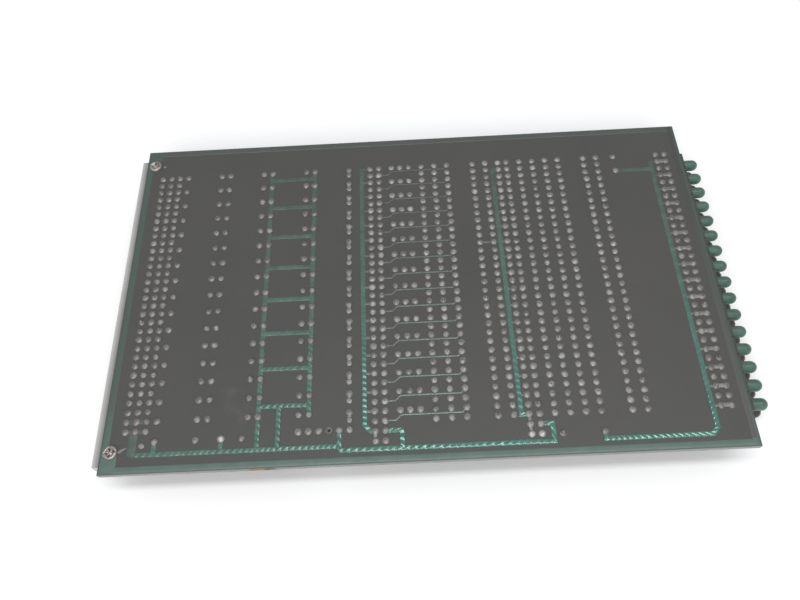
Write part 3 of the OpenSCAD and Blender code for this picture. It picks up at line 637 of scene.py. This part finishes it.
def joint_piece(node, kind, seed):
    """All joints of one node, no two alike: most close over the cut lead, some with its end flush on top."""
    rng = random.Random(seed)
    points, faces, which = [], [], []
    for x, y in centres(node):
        top = kind.top * rng.uniform(*TOP_SHARES)
        closed = rng.random() < CLOSED_SHARE
        pad_r = kind.pad_r * rng.uniform(*PAD_SHARES)
        fresh = any(math.dist((x, y), place) < FRESH_REACH for place in FRESH_JOINTS)
        if fresh:
            top, closed, pad_r = kind.top * FRESH_TOP, True, kind.pad_r * FRESH_PAD
        elif closed:
            top *= CLOSED_TOP
        flush = closed and not fresh and rng.random() < FLUSH_SHARE
        tip = kind.tip * rng.uniform(*TIP_SHARES)
        lean = [rng.uniform(-kind.lean, kind.lean) for _ in range(2)]
        slope = [rng.uniform(-kind.slope, kind.slope) for _ in range(2)]
        end_r = (FLUSH_R if flush else CLOSED_R) if closed else None
        rings = joint_rings(rng, kind.lead, pad_r, top, tip, lean, slope, end_r)
        start = len(points)
        for ring in rings:
            points.extend((ring + (x, y, SOLD_Z)).tolist())
        crown = FLUSH_CROWN if flush else CLOSED_CROWN
        points.append((rings[-1].mean(0) + (x, y, SOLD_Z + crown)).tolist())
        wall = tube_faces(start, len(rings))
        cap = fan_faces(start + (len(rings) - 1) * SIDES)
        faces += wall + cap
        wall_look = FRESH_LOOK if fresh else FILLET_LOOK
        cap_look = END_LOOK if flush or not closed else wall_look
        which += [wall_look] * len(wall) + [cap_look] * len(cap)
    looks = [kind.solder, CUT_END] + ([FRESH_SOLDER] if FRESH_LOOK in which else [])
    piece("solder_" + node, points, faces, looks, [node], which, sharp=50)


for seed, (node, kind) in enumerate(JOINTS.items(), FIRST_JOINT_SEED):
    joint_piece(node, kind, seed)

# Low domes of solder, by share of their radius and height
DOME = ((1.0, 0.0), (1.0, 0.24), (0.93, 0.52), (0.75, 0.8), (0.49, 0.97), (0.22, 1.0))
VIA_CAP_R, VIA_CAP_H = 0.8, 0.33
CAP_OVAL, MOST_SAG, MIDDLE_SAG = 0.05, 0.28, 1.1

# Splashes by the rivets: a drop at the back, and a smear of drops that get smaller at the front
DROP = (-76.95, 44.2, 0.5, 0.2)
SMEAR = [(-77.6 + 0.36 * k, -44.35 + 0.22 * k, 0.4 - 0.05 * k, 0.07) for k in range(5)]


def caps_piece(name, look, caps, replaced, seed):
    """Domes of solder: caps are (x, y, radius, height)."""
    rng = random.Random(seed)
    points, faces = [], []
    last = len(DOME) - 1
    for x, y, radius, height in caps:
        start = len(points)
        pull = rng.uniform(0, 2 * math.pi)
        sag = height * rng.uniform(0.0, MOST_SAG)
        for i, (r, z) in enumerate(DOME):
            wobble = radius * r * (1 + CAP_OVAL * np.cos(2 * TURN + pull))
            level = np.full(SIDES, SOLD_Z + height * z - sag * i / last)
            points.extend(np.column_stack([x + wobble * COS, y + wobble * SIN, level]).tolist())
        points.append((x, y, SOLD_Z + height - sag * MIDDLE_SAG))
        faces += tube_faces(start, len(DOME)) + fan_faces(start + last * SIDES)
    piece(name, points, faces, [look], replaced, sharp=60)


via_caps = [(x, y, VIA_CAP_R, VIA_CAP_H) for x, y in centres("via_caps")]
caps_piece("solder_via_caps", SOLDER, via_caps, ["via_caps"], VIA_CAP_SEED)
caps_piece("solder_splashes", DULL_SOLDER, [DROP, *SMEAR], (), SPLASH_SEED)

# Rolled end of a rivet from its bore out, as (radius, height over the board, share of the splits' depth)
RIVET_ROLL = (
    (0.12, 0.33, 0.0), (0.4, 0.26, 0.6), (0.7, 0.24, 1.0), (0.86, 0.38, 1.0), (1.0, 0.57, 1.0),
    (1.2, 0.67, 0.9), (1.42, 0.67, 0.5), (1.62, 0.59, 0.15), (1.8, 0.4, 0.0), (1.89, 0.18, 0.0),
    (1.9, 0.0, 0.0),
)

# Shank and flat head of a rivet, as (radius, Z)
RIVET_SHANK = ((1.25, SOLD_Z), (1.25, 8.0), (1.9, 8.0), (1.9, 7.4), (1.8, 7.3), (0.05, 7.3))
RIVET_SIDES, RIVET_SPLITS = 48, 4

# Splits in the rolled end, the rings and depth of split where the end is darker, and how uneven the roll is
# and between which radii
SPLIT_DEPTH, SPLIT_ANGLE, SPLIT_WANDER = 0.22, 0.2, 0.25
SPLIT_DARK_RINGS, SPLIT_DARK_FROM = range(1, 5), 0.4
UNEVEN_ROLL, UNEVEN_FROM, UNEVEN_TO = 0.02, 0.7, 1.7


def rivet_piece():
    """Rivets with a rolled, split end, darker in the splits."""
    rng = random.Random(RIVET_SEED)
    turn = np.linspace(0, 2 * math.pi, RIVET_SIDES, endpoint=False)
    profile = [(r, SOLD_Z + height, split) for r, height, split in RIVET_ROLL]
    profile += [(r, z, 0.0) for r, z in RIVET_SHANK]
    points, faces, which = [], [], []
    for x, y in centres("connector_rivets"):
        start = len(points)
        gap = np.zeros(RIVET_SIDES)
        for k in range(RIVET_SPLITS):
            middle = k * 2 * math.pi / RIVET_SPLITS + rng.uniform(-SPLIT_WANDER, SPLIT_WANDER)
            away = np.angle(np.exp(1j * (turn - middle)))
            gap += np.exp(-(away / SPLIT_ANGLE) ** 2)
        pull = rng.uniform(0, 2 * math.pi)
        for i, (r, z, split) in enumerate(profile):
            rolled = i < len(RIVET_ROLL) and UNEVEN_FROM < r < UNEVEN_TO
            round_r = r * (1 + UNEVEN_ROLL * np.cos(3 * turn + pull)) if rolled else r
            level = z - SPLIT_DEPTH * split * gap
            ring = np.column_stack([x + round_r * np.cos(turn), y + round_r * np.sin(turn), level])
            points.extend(ring.tolist())
        faces += tube_faces(start, len(profile), RIVET_SIDES, inward=True)
        for i in range(len(profile) - 1):
            which += [1 if i in SPLIT_DARK_RINGS and deep > SPLIT_DARK_FROM else 0 for deep in gap]
        last = start + (len(profile) - 1) * RIVET_SIDES
        faces.append(tuple(start + k for k in range(RIVET_SIDES)))
        faces.append(tuple(last + k for k in reversed(range(RIVET_SIDES))))
        which += [0, 0]
    piece("split_rivets", points, faces, [RIVET, SPLIT_DARK], ["connector_rivets"], which,
          sharp=40)


rivet_piece()

# Columns, rows and corners of the tracks, repeated from the part's source
MIDDLE_COL, STEP_COL, DROP_COL, BUS_END = 15, 21, 27.1, 41.6
LAST_RUNG, RUNG_STEP, STUB_ROW = ROWS - 3, 4, 11
CORNER_CUT, BUS_CUT, LANE_DROP = 0.3, 0.6, 0.48
JOG_START, JOG_END, LANE_END = IN_RIGHT + 1.05, IN_RIGHT + 1.6, DRIVER_LEFT - 0.4
SUPPLY_W = 1.2

# The wide track by the connector lies a little to the left of its column
PLUG_TRACK_COL = PLUG_COL - 0.15

# Paths of the tracks, as columns and rows
lamp_path = [(LINK_END, LINK_ROW), (LINK_END, LOW_BUS), (LAMP_RAIL - BUS_CUT, LOW_BUS),
             (LAMP_RAIL, LOW_BUS - BUS_CUT), (LAMP_RAIL, 1)]
supply_paths = [
    [(PLUG_COL, BUS), (STEP_COL, BUS)],
    [(STEP_COL, HEADER_ROW), (STEP_COL, LOW_BUS)],
    [(STEP_COL, LOW_BUS), (BUS_END, LOW_BUS), (BUS_END, ROWS), (OUT_RIGHT, ROWS)],
    [(CLAMP_BANK, 0), (CLAMP_BANK, BUS)],
    [(PULLDOWN_BANK, 0), (PULLDOWN_BANK, LAST_ROW - 1)],
    [(MIDDLE_COL, LAST_RUNG), (MIDDLE_COL, BUS)],
    [(IN_RAIL, 0), (IN_RAIL, ROWS - BUS_CUT), (IN_RAIL + BUS_CUT, ROWS), (IN_LEFT, ROWS)],
    [(IN_RIGHT, ROWS), (DROP_COL, ROWS), (DROP_COL, LOW_BUS)],
    [(OUT_LEFT, 1), (OUT_RAIL + CORNER_CUT, 1), (OUT_RAIL, 1 + CORNER_CUT), (OUT_RAIL, LAST_ROW),
     (OUT_LEFT, LAST_ROW)],
    lamp_path,
    [(FILTER_COL, CAPACITOR_SPAN), (LAMP_RAIL, CAPACITOR_SPAN)],
]
supply_paths += [[(n, FRONT_ROW), (n, BUS)] for n in (INPUT_BANK, SUPPLY_CAPACITOR_COL)]
supply_paths += [[(CLAMP_BANK, r), (PULLDOWN_BANK, r)] for r in range(1, LAST_RUNG + 1, RUNG_STEP)]
stub_paths = [[(DRIVER_RIGHT, STUB_ROW), (PULLUP_COL, STUB_ROW)]]
stub_paths += [[(IN_RAIL, r), (IN_LEFT, r)] for r in EVEN_ROWS]
stub_paths += [[(OUT_RAIL, r), (OUT_LEFT, r)] for r in range(3, LAST_ROW - 1, 2)]
stub_paths += [[(LAMP_RAIL, r), (LAMP_COL - 1, r)] for r in ODD_ROWS]
plug_path = [(PLUG_TRACK_COL, LAST_ROW), (PLUG_TRACK_COL, BUS + SUPPLY_W / 2 / PITCH)]
plug_links = [[(PLUG_COL - 1, r), (PLUG_COL + 1, r)] for r in (LAST_ROW - 1, LAST_ROW)]
signal_paths = [
    [(IN_RIGHT, r + 1), (JOG_START, r + 1), (JOG_END, r + LANE_DROP), (LANE_END, r + LANE_DROP),
     (DRIVER_LEFT, r)]
    for r in EVEN_ROWS
]
lamp_links = [[(LAMP_COL - 1, r), (LAMP_COL, r)] for r in ODD_ROWS]
header_links = [[(IN_LEFT, ROWS), (IN_LEFT, ROWS + 1)], [(OUT_LEFT, LAST_ROW), (OUT_LEFT, ROWS + 1)]]
bank_links = [
    [(n - 1, r), (n, r)]
    for r in EVEN_ROWS for n in (INPUT_BANK, DIVIDER_BANK, CLAMP_BANK, PULLDOWN_BANK)
]


class Strip(NamedTuple):
    """Section of a track in millimetres: its width and height, and the height of the ridges in it.

    step is the length of one row of its mesh, period is how far apart the ridges lie, and slant is about
    how many periods they lean over between its middle and its side.
    """
    width: float
    height: float
    ridge: float
    step: float = 0.16
    period: float = 1.9
    slant: float = 0.3


SUPPLY = Strip(1.32, 0.07, 0.27, 0.14, slant=0.26)
SUPPLY_PERIODS = (1.5, 1.9)
STUB = Strip(0.7, 0.07, 0.04, 0.2)
PLUG = Strip(2.2, 0.075, 0.03)
PLUG_LINK = Strip(SUPPLY_W, 0.07, 0.03)
SIGNAL = Strip(0.46, 0.09, 0.02, 0.3)
EDGE = Strip(1.6, 0.08, 0.02, 0.4, 2.6)
PATCH = Strip(3.9, 0.085, 0.02, 0.3, 2.6)
LAMP_LINK = Strip(1.3, 0.3, 0.06, 0.16, 1.3, 0.1)
BANK_LINK = Strip(0.7, 0.07, 0.02, 0.3)
VIA_TIE = Strip(1.0, 0.14, 0.04, 0.16, 1.3, 0.1)
HEADER_TIE = Strip(0.9, 0.12, 0.04, 0.16, 1.3, 0.1)

# Places across a track, as shares of half its width, and how high its rounded top is there
ACROSS = np.array([-1.0, -0.97, -0.86, -0.64, -0.34, 0.0, 0.34, 0.64, 0.86, 0.97, 1.0])
ROUNDED = np.sqrt(np.clip(1 - np.abs(ACROSS) ** 4.5, 0, 1))

# How sharp the ridges are
CREST = 0.96

# Where the ridges grow towards the front and the right, and the least shares of their height
RISE_Y, RISE_X = (-35, -7), (-65.5, -20)
LEAST_RIDGE, LEAST_RISE_X = 0.1, 0.35

# How the ridges lean over more towards the right: places along X, and how much they lean there
LEAN_X, LEAN = (-20, 50), (1.0, 2.2)

# How far the ridges stray in periods and how fast, their mean share of height, and how much that varies
STRAY, STRAY_PACE, RIDGE_MEAN, RIDGE_SPREAD = 0.5, 1.4, 0.8, 0.5

# Number, paces and starts of the waves in a random curve, and the length in which a track starts on it
WAVE_COUNT, WAVE_PACES, WAVE_STARTS, START_LENGTH = 4, (0.05, 0.35), (0, 6.28), 5


def waves(rng):
    """A slow random curve, for uneven spacing along a track."""
    parts = [(rng.uniform(*WAVE_PACES), rng.uniform(*WAVE_STARTS)) for _ in range(WAVE_COUNT)]
    return lambda s: sum(np.sin(k * s + p) for k, p in parts) / WAVE_COUNT


def wrinkling(x, y):
    """How strong the ridges are at a place: slight at the back, and strongest at the front right."""
    ahead = np.interp(y, RISE_Y, (1, 0))
    along = np.interp(x, RISE_X, (LEAST_RISE_X, 1))
    return LEAST_RIDGE + (1 - LEAST_RIDGE) * ahead * along


def mitred(path, width, closed):
    """Points across a track at each point of its path, on the line that halves the corner there."""
    legs = [(b - a) / np.linalg.norm(b - a) for a, b in zip(path, path[1:])]
    before, after = (legs[-1], legs[0]) if closed else (legs[0], legs[-1])
    lines = []
    for place, into, away in zip(path, [before] + legs, legs + [after]):
        mitre = np.array([-into[1] - away[1], into[0] + away[0]])
        lines.append(place + np.outer(ACROSS, mitre * width / (mitre @ mitre)))
    return lines


class Ribbons:
    """Tracks as domed strips with the ridges that tin leaves under the mask, on the board's face at base_z.

    side is 1 on the face that looks up, and -1 on the face that looks down.
    """

    def __init__(self, base_z, side=1):
        self.points, self.faces, self.base_z, self.side = [], [], base_z, side

    def heights(self, strip, flat, s, uneven, strong):
        """Heights across a track, at a distance s along it."""
        x, y = flat[:, 0], flat[:, 1]
        lay = strip.slant * strip.width / SUPPLY_W * np.interp(x, LEAN_X, LEAN)
        phase = s / strip.period + STRAY * uneven(s * STRAY_PACE) - lay * ACROSS
        bulge = 0.5 + np.arcsin(CREST * np.sin(2 * math.pi * phase)) / (2 * math.asin(CREST))
        bulge = bulge / np.hypot(1, strip.period * lay * 2 / strip.width)
        share = RIDGE_MEAN + RIDGE_SPREAD * strong(s)
        return ROUNDED * (strip.height + strip.ridge * wrinkling(x, y) * share * bulge)

    def run(self, path, strip, rng, closed=False):
        """Lay one track along a path."""
        path = [np.array(p, float) for p in path]
        uneven, strong = waves(rng), waves(rng)
        travelled = rng.uniform(0, START_LENGTH)
        lines = mitred(path, strip.width, closed)
        n = len(ACROSS)
        for i in range(len(path) - 1):
            length = np.linalg.norm(path[i + 1] - path[i])
            count = max(2, int(length / strip.step))
            start = len(self.points)
            for j in range(count + 1):
                u = j / count
                flat = lines[i] * (1 - u) + lines[i + 1] * u
                z = self.heights(strip, flat, travelled + length * u, uneven, strong)
                self.points.extend(np.column_stack([flat, self.base_z + self.side * z]).tolist())
            travelled += length
            for j in range(count):
                for a in range(start + j * n, start + (j + 1) * n - 1):
                    b = a + n
                    self.faces.append((b, b + 1, a + 1, a) if self.side > 0 else (a + 1, b + 1, b, a))

    def make(self, name, look, replaced=()):
        """Turn the tracks into a piece."""
        piece(name, self.points, self.faces, [look], replaced)


rng = random.Random(TRACK_SEED)


def alike_tracks(name, paths, strip, look, replaced=(), base_z=SOLD_Z, side=1):
    """A piece of tracks that all have one section."""
    tracks = Ribbons(base_z, side)
    for path in paths:
        tracks.run(placed(path), strip, rng)
    tracks.make(name, look, replaced)


supply = Ribbons(SOLD_Z)
for path in supply_paths:
    period = rng.uniform(*SUPPLY_PERIODS)
    slant = -SUPPLY.slant if path is lamp_path else SUPPLY.slant
    supply.run(placed(path), SUPPLY._replace(period=period, slant=slant), rng)
supply.make("wrinkled_supply_tracks", TRACK, ["supply_tracks"])

alike_tracks("track_stubs", stub_paths, STUB, THIN_TRACK)

plug = Ribbons(SOLD_Z)
plug.run(placed(plug_path), PLUG, rng)
for path in plug_links:
    plug.run(placed(path), PLUG_LINK, rng)
plug.make("plug_supply_tracks", PLUG_TRACK)

alike_tracks("thin_signal_tracks", signal_paths, SIGNAL, THIN_TRACK, ["signal_tracks"])

# Border strip, with patches at the connector corners and clear of the rivets
EDGE_INSET = 1.1
PATCH_X, PATCH_START, PATCH_END = BOARD_X + 2.25, 44.45, 49.7
RIVET_CLEAR = 1.6
left, right = BOARD_X + EDGE_INSET, BOARD_END - EDGE_INSET
front, back = FRONT_Y + EDGE_INSET, BACK_Y - EDGE_INSET
border = Ribbons(SOLD_Z)
edge_path = [(left, front), (right, front), (right, back), (left, back), (left, front)]
border.run(edge_path, EDGE, rng, closed=True)
for end in (-1, 1):
    border.run([(PATCH_X, end * PATCH_START), (PATCH_X, end * PATCH_END)], PATCH, rng)
rivets = centres("connector_rivets")
flat_points = np.array(border.points)[:, :2]
middles = [flat_points[list(face)].mean(0) for face in border.faces]
border.faces = [face for face, middle in zip(border.faces, middles)
                if min(math.dist(middle, rivet) for rivet in rivets) > RIVET_CLEAR]
border.make("border_strip", BORDER, ["copper_border"])

alike_tracks("solder_lamp_links", lamp_links, LAMP_LINK, DULL_SOLDER, ["lamp_links"])

# Component side: tinned rings round the leads, and short tracks between neighbouring banks
PAD_T = 0.035
PAD_RINGS = ((0.8, COMP_Z), (0.78, COMP_Z - PAD_T), (0.5, COMP_Z - PAD_T), (0.48, COMP_Z))
PAD_SIDES = SIDES // 2
pad_points, pad_faces = [], []
for node in JOINTS:
    for x, y in centres(node):
        pad_faces += tube_faces(len(pad_points), len(PAD_RINGS), PAD_SIDES, inward=True)
        for r, z in PAD_RINGS:
            ring = np.column_stack([x + r * COS[::2], y + r * SIN[::2], np.full(PAD_SIDES, z)])
            pad_points.extend(ring.tolist())
piece("component_side_pads", pad_points, pad_faces, [SOLDER], sharp=40)

alike_tracks("component_side_tracks", bank_links, BANK_LINK, THIN_TRACK,
             base_z=COMP_Z, side=-1)

# Tinned links on the soldered face: from each via to its joint, and at the front of the two long headers
ties = Ribbons(SOLD_Z)
axial = centres("axial_joints")
for via in centres("via_caps"):
    joint = min(axial, key=lambda place: math.dist(place, via))
    if math.dist(joint, via) < PITCH:
        ties.run([joint, via], VIA_TIE, rng)
for path in header_links:
    ties.run(placed(path), HEADER_TIE, rng)
ties.make("solder_ties", SOLDER)

# Floor, lights and camera, in metres where no other unit is given
FLOOR_HALF = 4.0
GLOW_START_MM, GLOW_FULL_MM = 140, 500
GLOW_FALL_MM, GLOW_END_MM = 800, 3500
BACKDROP, BACKDROP_STRENGTH = (0.62, 0.63, 0.64, 1), 0.94
STRIP_X, STRIP_Y, STRIP_Z = 0.07, -0.06, 0.90
STRIP_SIZE, STRIP_WATTS = (0.87, 0.145), 3.15
KEY_PLACE = (-0.08, -0.80, 0.68)
KEY_SIZE, KEY_WATTS = (0.8, 0.55), 4.4
IMAGE_W_PX, FOCAL_PX = 800.0, 718.97
SENSOR_W_MM = 36.0
CAMERA_PLACE_MM = (-4.409, -98.402, 182.695)
CAMERA_AHEAD = (-0.01436, 0.47847, -0.87799)
CAMERA_RIGHT = (0.99873, -0.03548, -0.03567)
CLIP_START = 0.01

scene = bpy.context.scene
scene.view_settings.view_transform = "Standard"


def stage_floor():
    """A pale floor that keeps the part's shadow and turns to plain white away from it."""
    corners = [(FLOOR_HALF * x, FLOOR_HALF * y, 0) for x, y in ((-1, -1), (1, -1), (1, 1), (-1, 1))]
    mesh = bpy.data.meshes.new("floor")
    mesh.from_pydata(corners, [], [(0, 1, 2, 3)])
    floor = bpy.data.objects.new("floor", mesh)
    bpy.context.collection.objects.link(floor)
    look = Look("pale_floor")
    path = look.add("ShaderNodeLightPath").outputs
    seen = look.maths("MAXIMUM", path["Is Camera Ray"],
                      look.maths("MAXIMUM", path["Is Glossy Ray"], path["Is Transmission Ray"]))
    away = look.add("ShaderNodeVectorMath", {0: look.place}, operation="LENGTH").outputs["Value"]
    share = look.maths("MINIMUM", look.fade(away, GLOW_START_MM, GLOW_FULL_MM),
                       look.fade(away, GLOW_END_MM, GLOW_FALL_MM))
    glow = look.add("ShaderNodeEmission", {"Color": (1, 1, 1), "Strength": 1.0})
    look.shade(Base_Color=(0.97, 0.97, 0.97), Roughness=0.9, Specular_IOR_Level=0.0)
    blend = look.add("ShaderNodeMixShader", {
        0: look.times(seen, share), 1: look.shader.outputs[0], 2: glow.outputs[0]})
    output = next(n for n in look.tree.nodes if n.type == "OUTPUT_MATERIAL")
    look.feed(output.inputs["Surface"], blend.outputs[0])
    mesh.materials.append(look.material)


def area_light(name, place, target, size, watts):
    """A white rectangular light that looks at a target."""
    data = bpy.data.lights.new(name, "AREA")
    data.shape = "RECTANGLE"
    data.size, data.size_y = size
    data.energy = watts
    lamp = bpy.data.objects.new(name, data)
    bpy.context.collection.objects.link(lamp)
    lamp.location = place
    lamp.rotation_euler = (Vector(target) - Vector(place)).to_track_quat("-Z", "Y").to_euler()


def photo_camera():
    """The camera, at the photograph's viewing angle."""
    data = bpy.data.cameras.new("photo_camera")
    data.sensor_width = SENSOR_W_MM
    data.lens = FOCAL_PX * SENSOR_W_MM / IMAGE_W_PX
    data.clip_start = CLIP_START
    camera = bpy.data.objects.new("photo_camera", data)
    bpy.context.collection.objects.link(camera)
    ahead = Vector(CAMERA_AHEAD).normalized()
    aside = Vector(CAMERA_RIGHT)
    aside = (aside - ahead * aside.dot(ahead)).normalized()
    turn = Matrix((aside, aside.cross(ahead), -ahead)).transposed().to_4x4()
    camera.matrix_world = Matrix.Translation(Vector(CAMERA_PLACE_MM) * MM) @ turn
    scene.camera = camera


stage_floor()
world = bpy.data.worlds.new("studio")
world.use_nodes = True
backdrop = next(n for n in world.node_tree.nodes if n.type == "BACKGROUND")
backdrop.inputs["Color"].default_value = BACKDROP
backdrop.inputs["Strength"].default_value = BACKDROP_STRENGTH
scene.world = world
area_light("overhead_strip", (STRIP_X, STRIP_Y, STRIP_Z), (STRIP_X, STRIP_Y, 0), STRIP_SIZE, STRIP_WATTS)
area_light("front_key", KEY_PLACE, (0, 0, 0), KEY_SIZE, KEY_WATTS)
photo_camera()
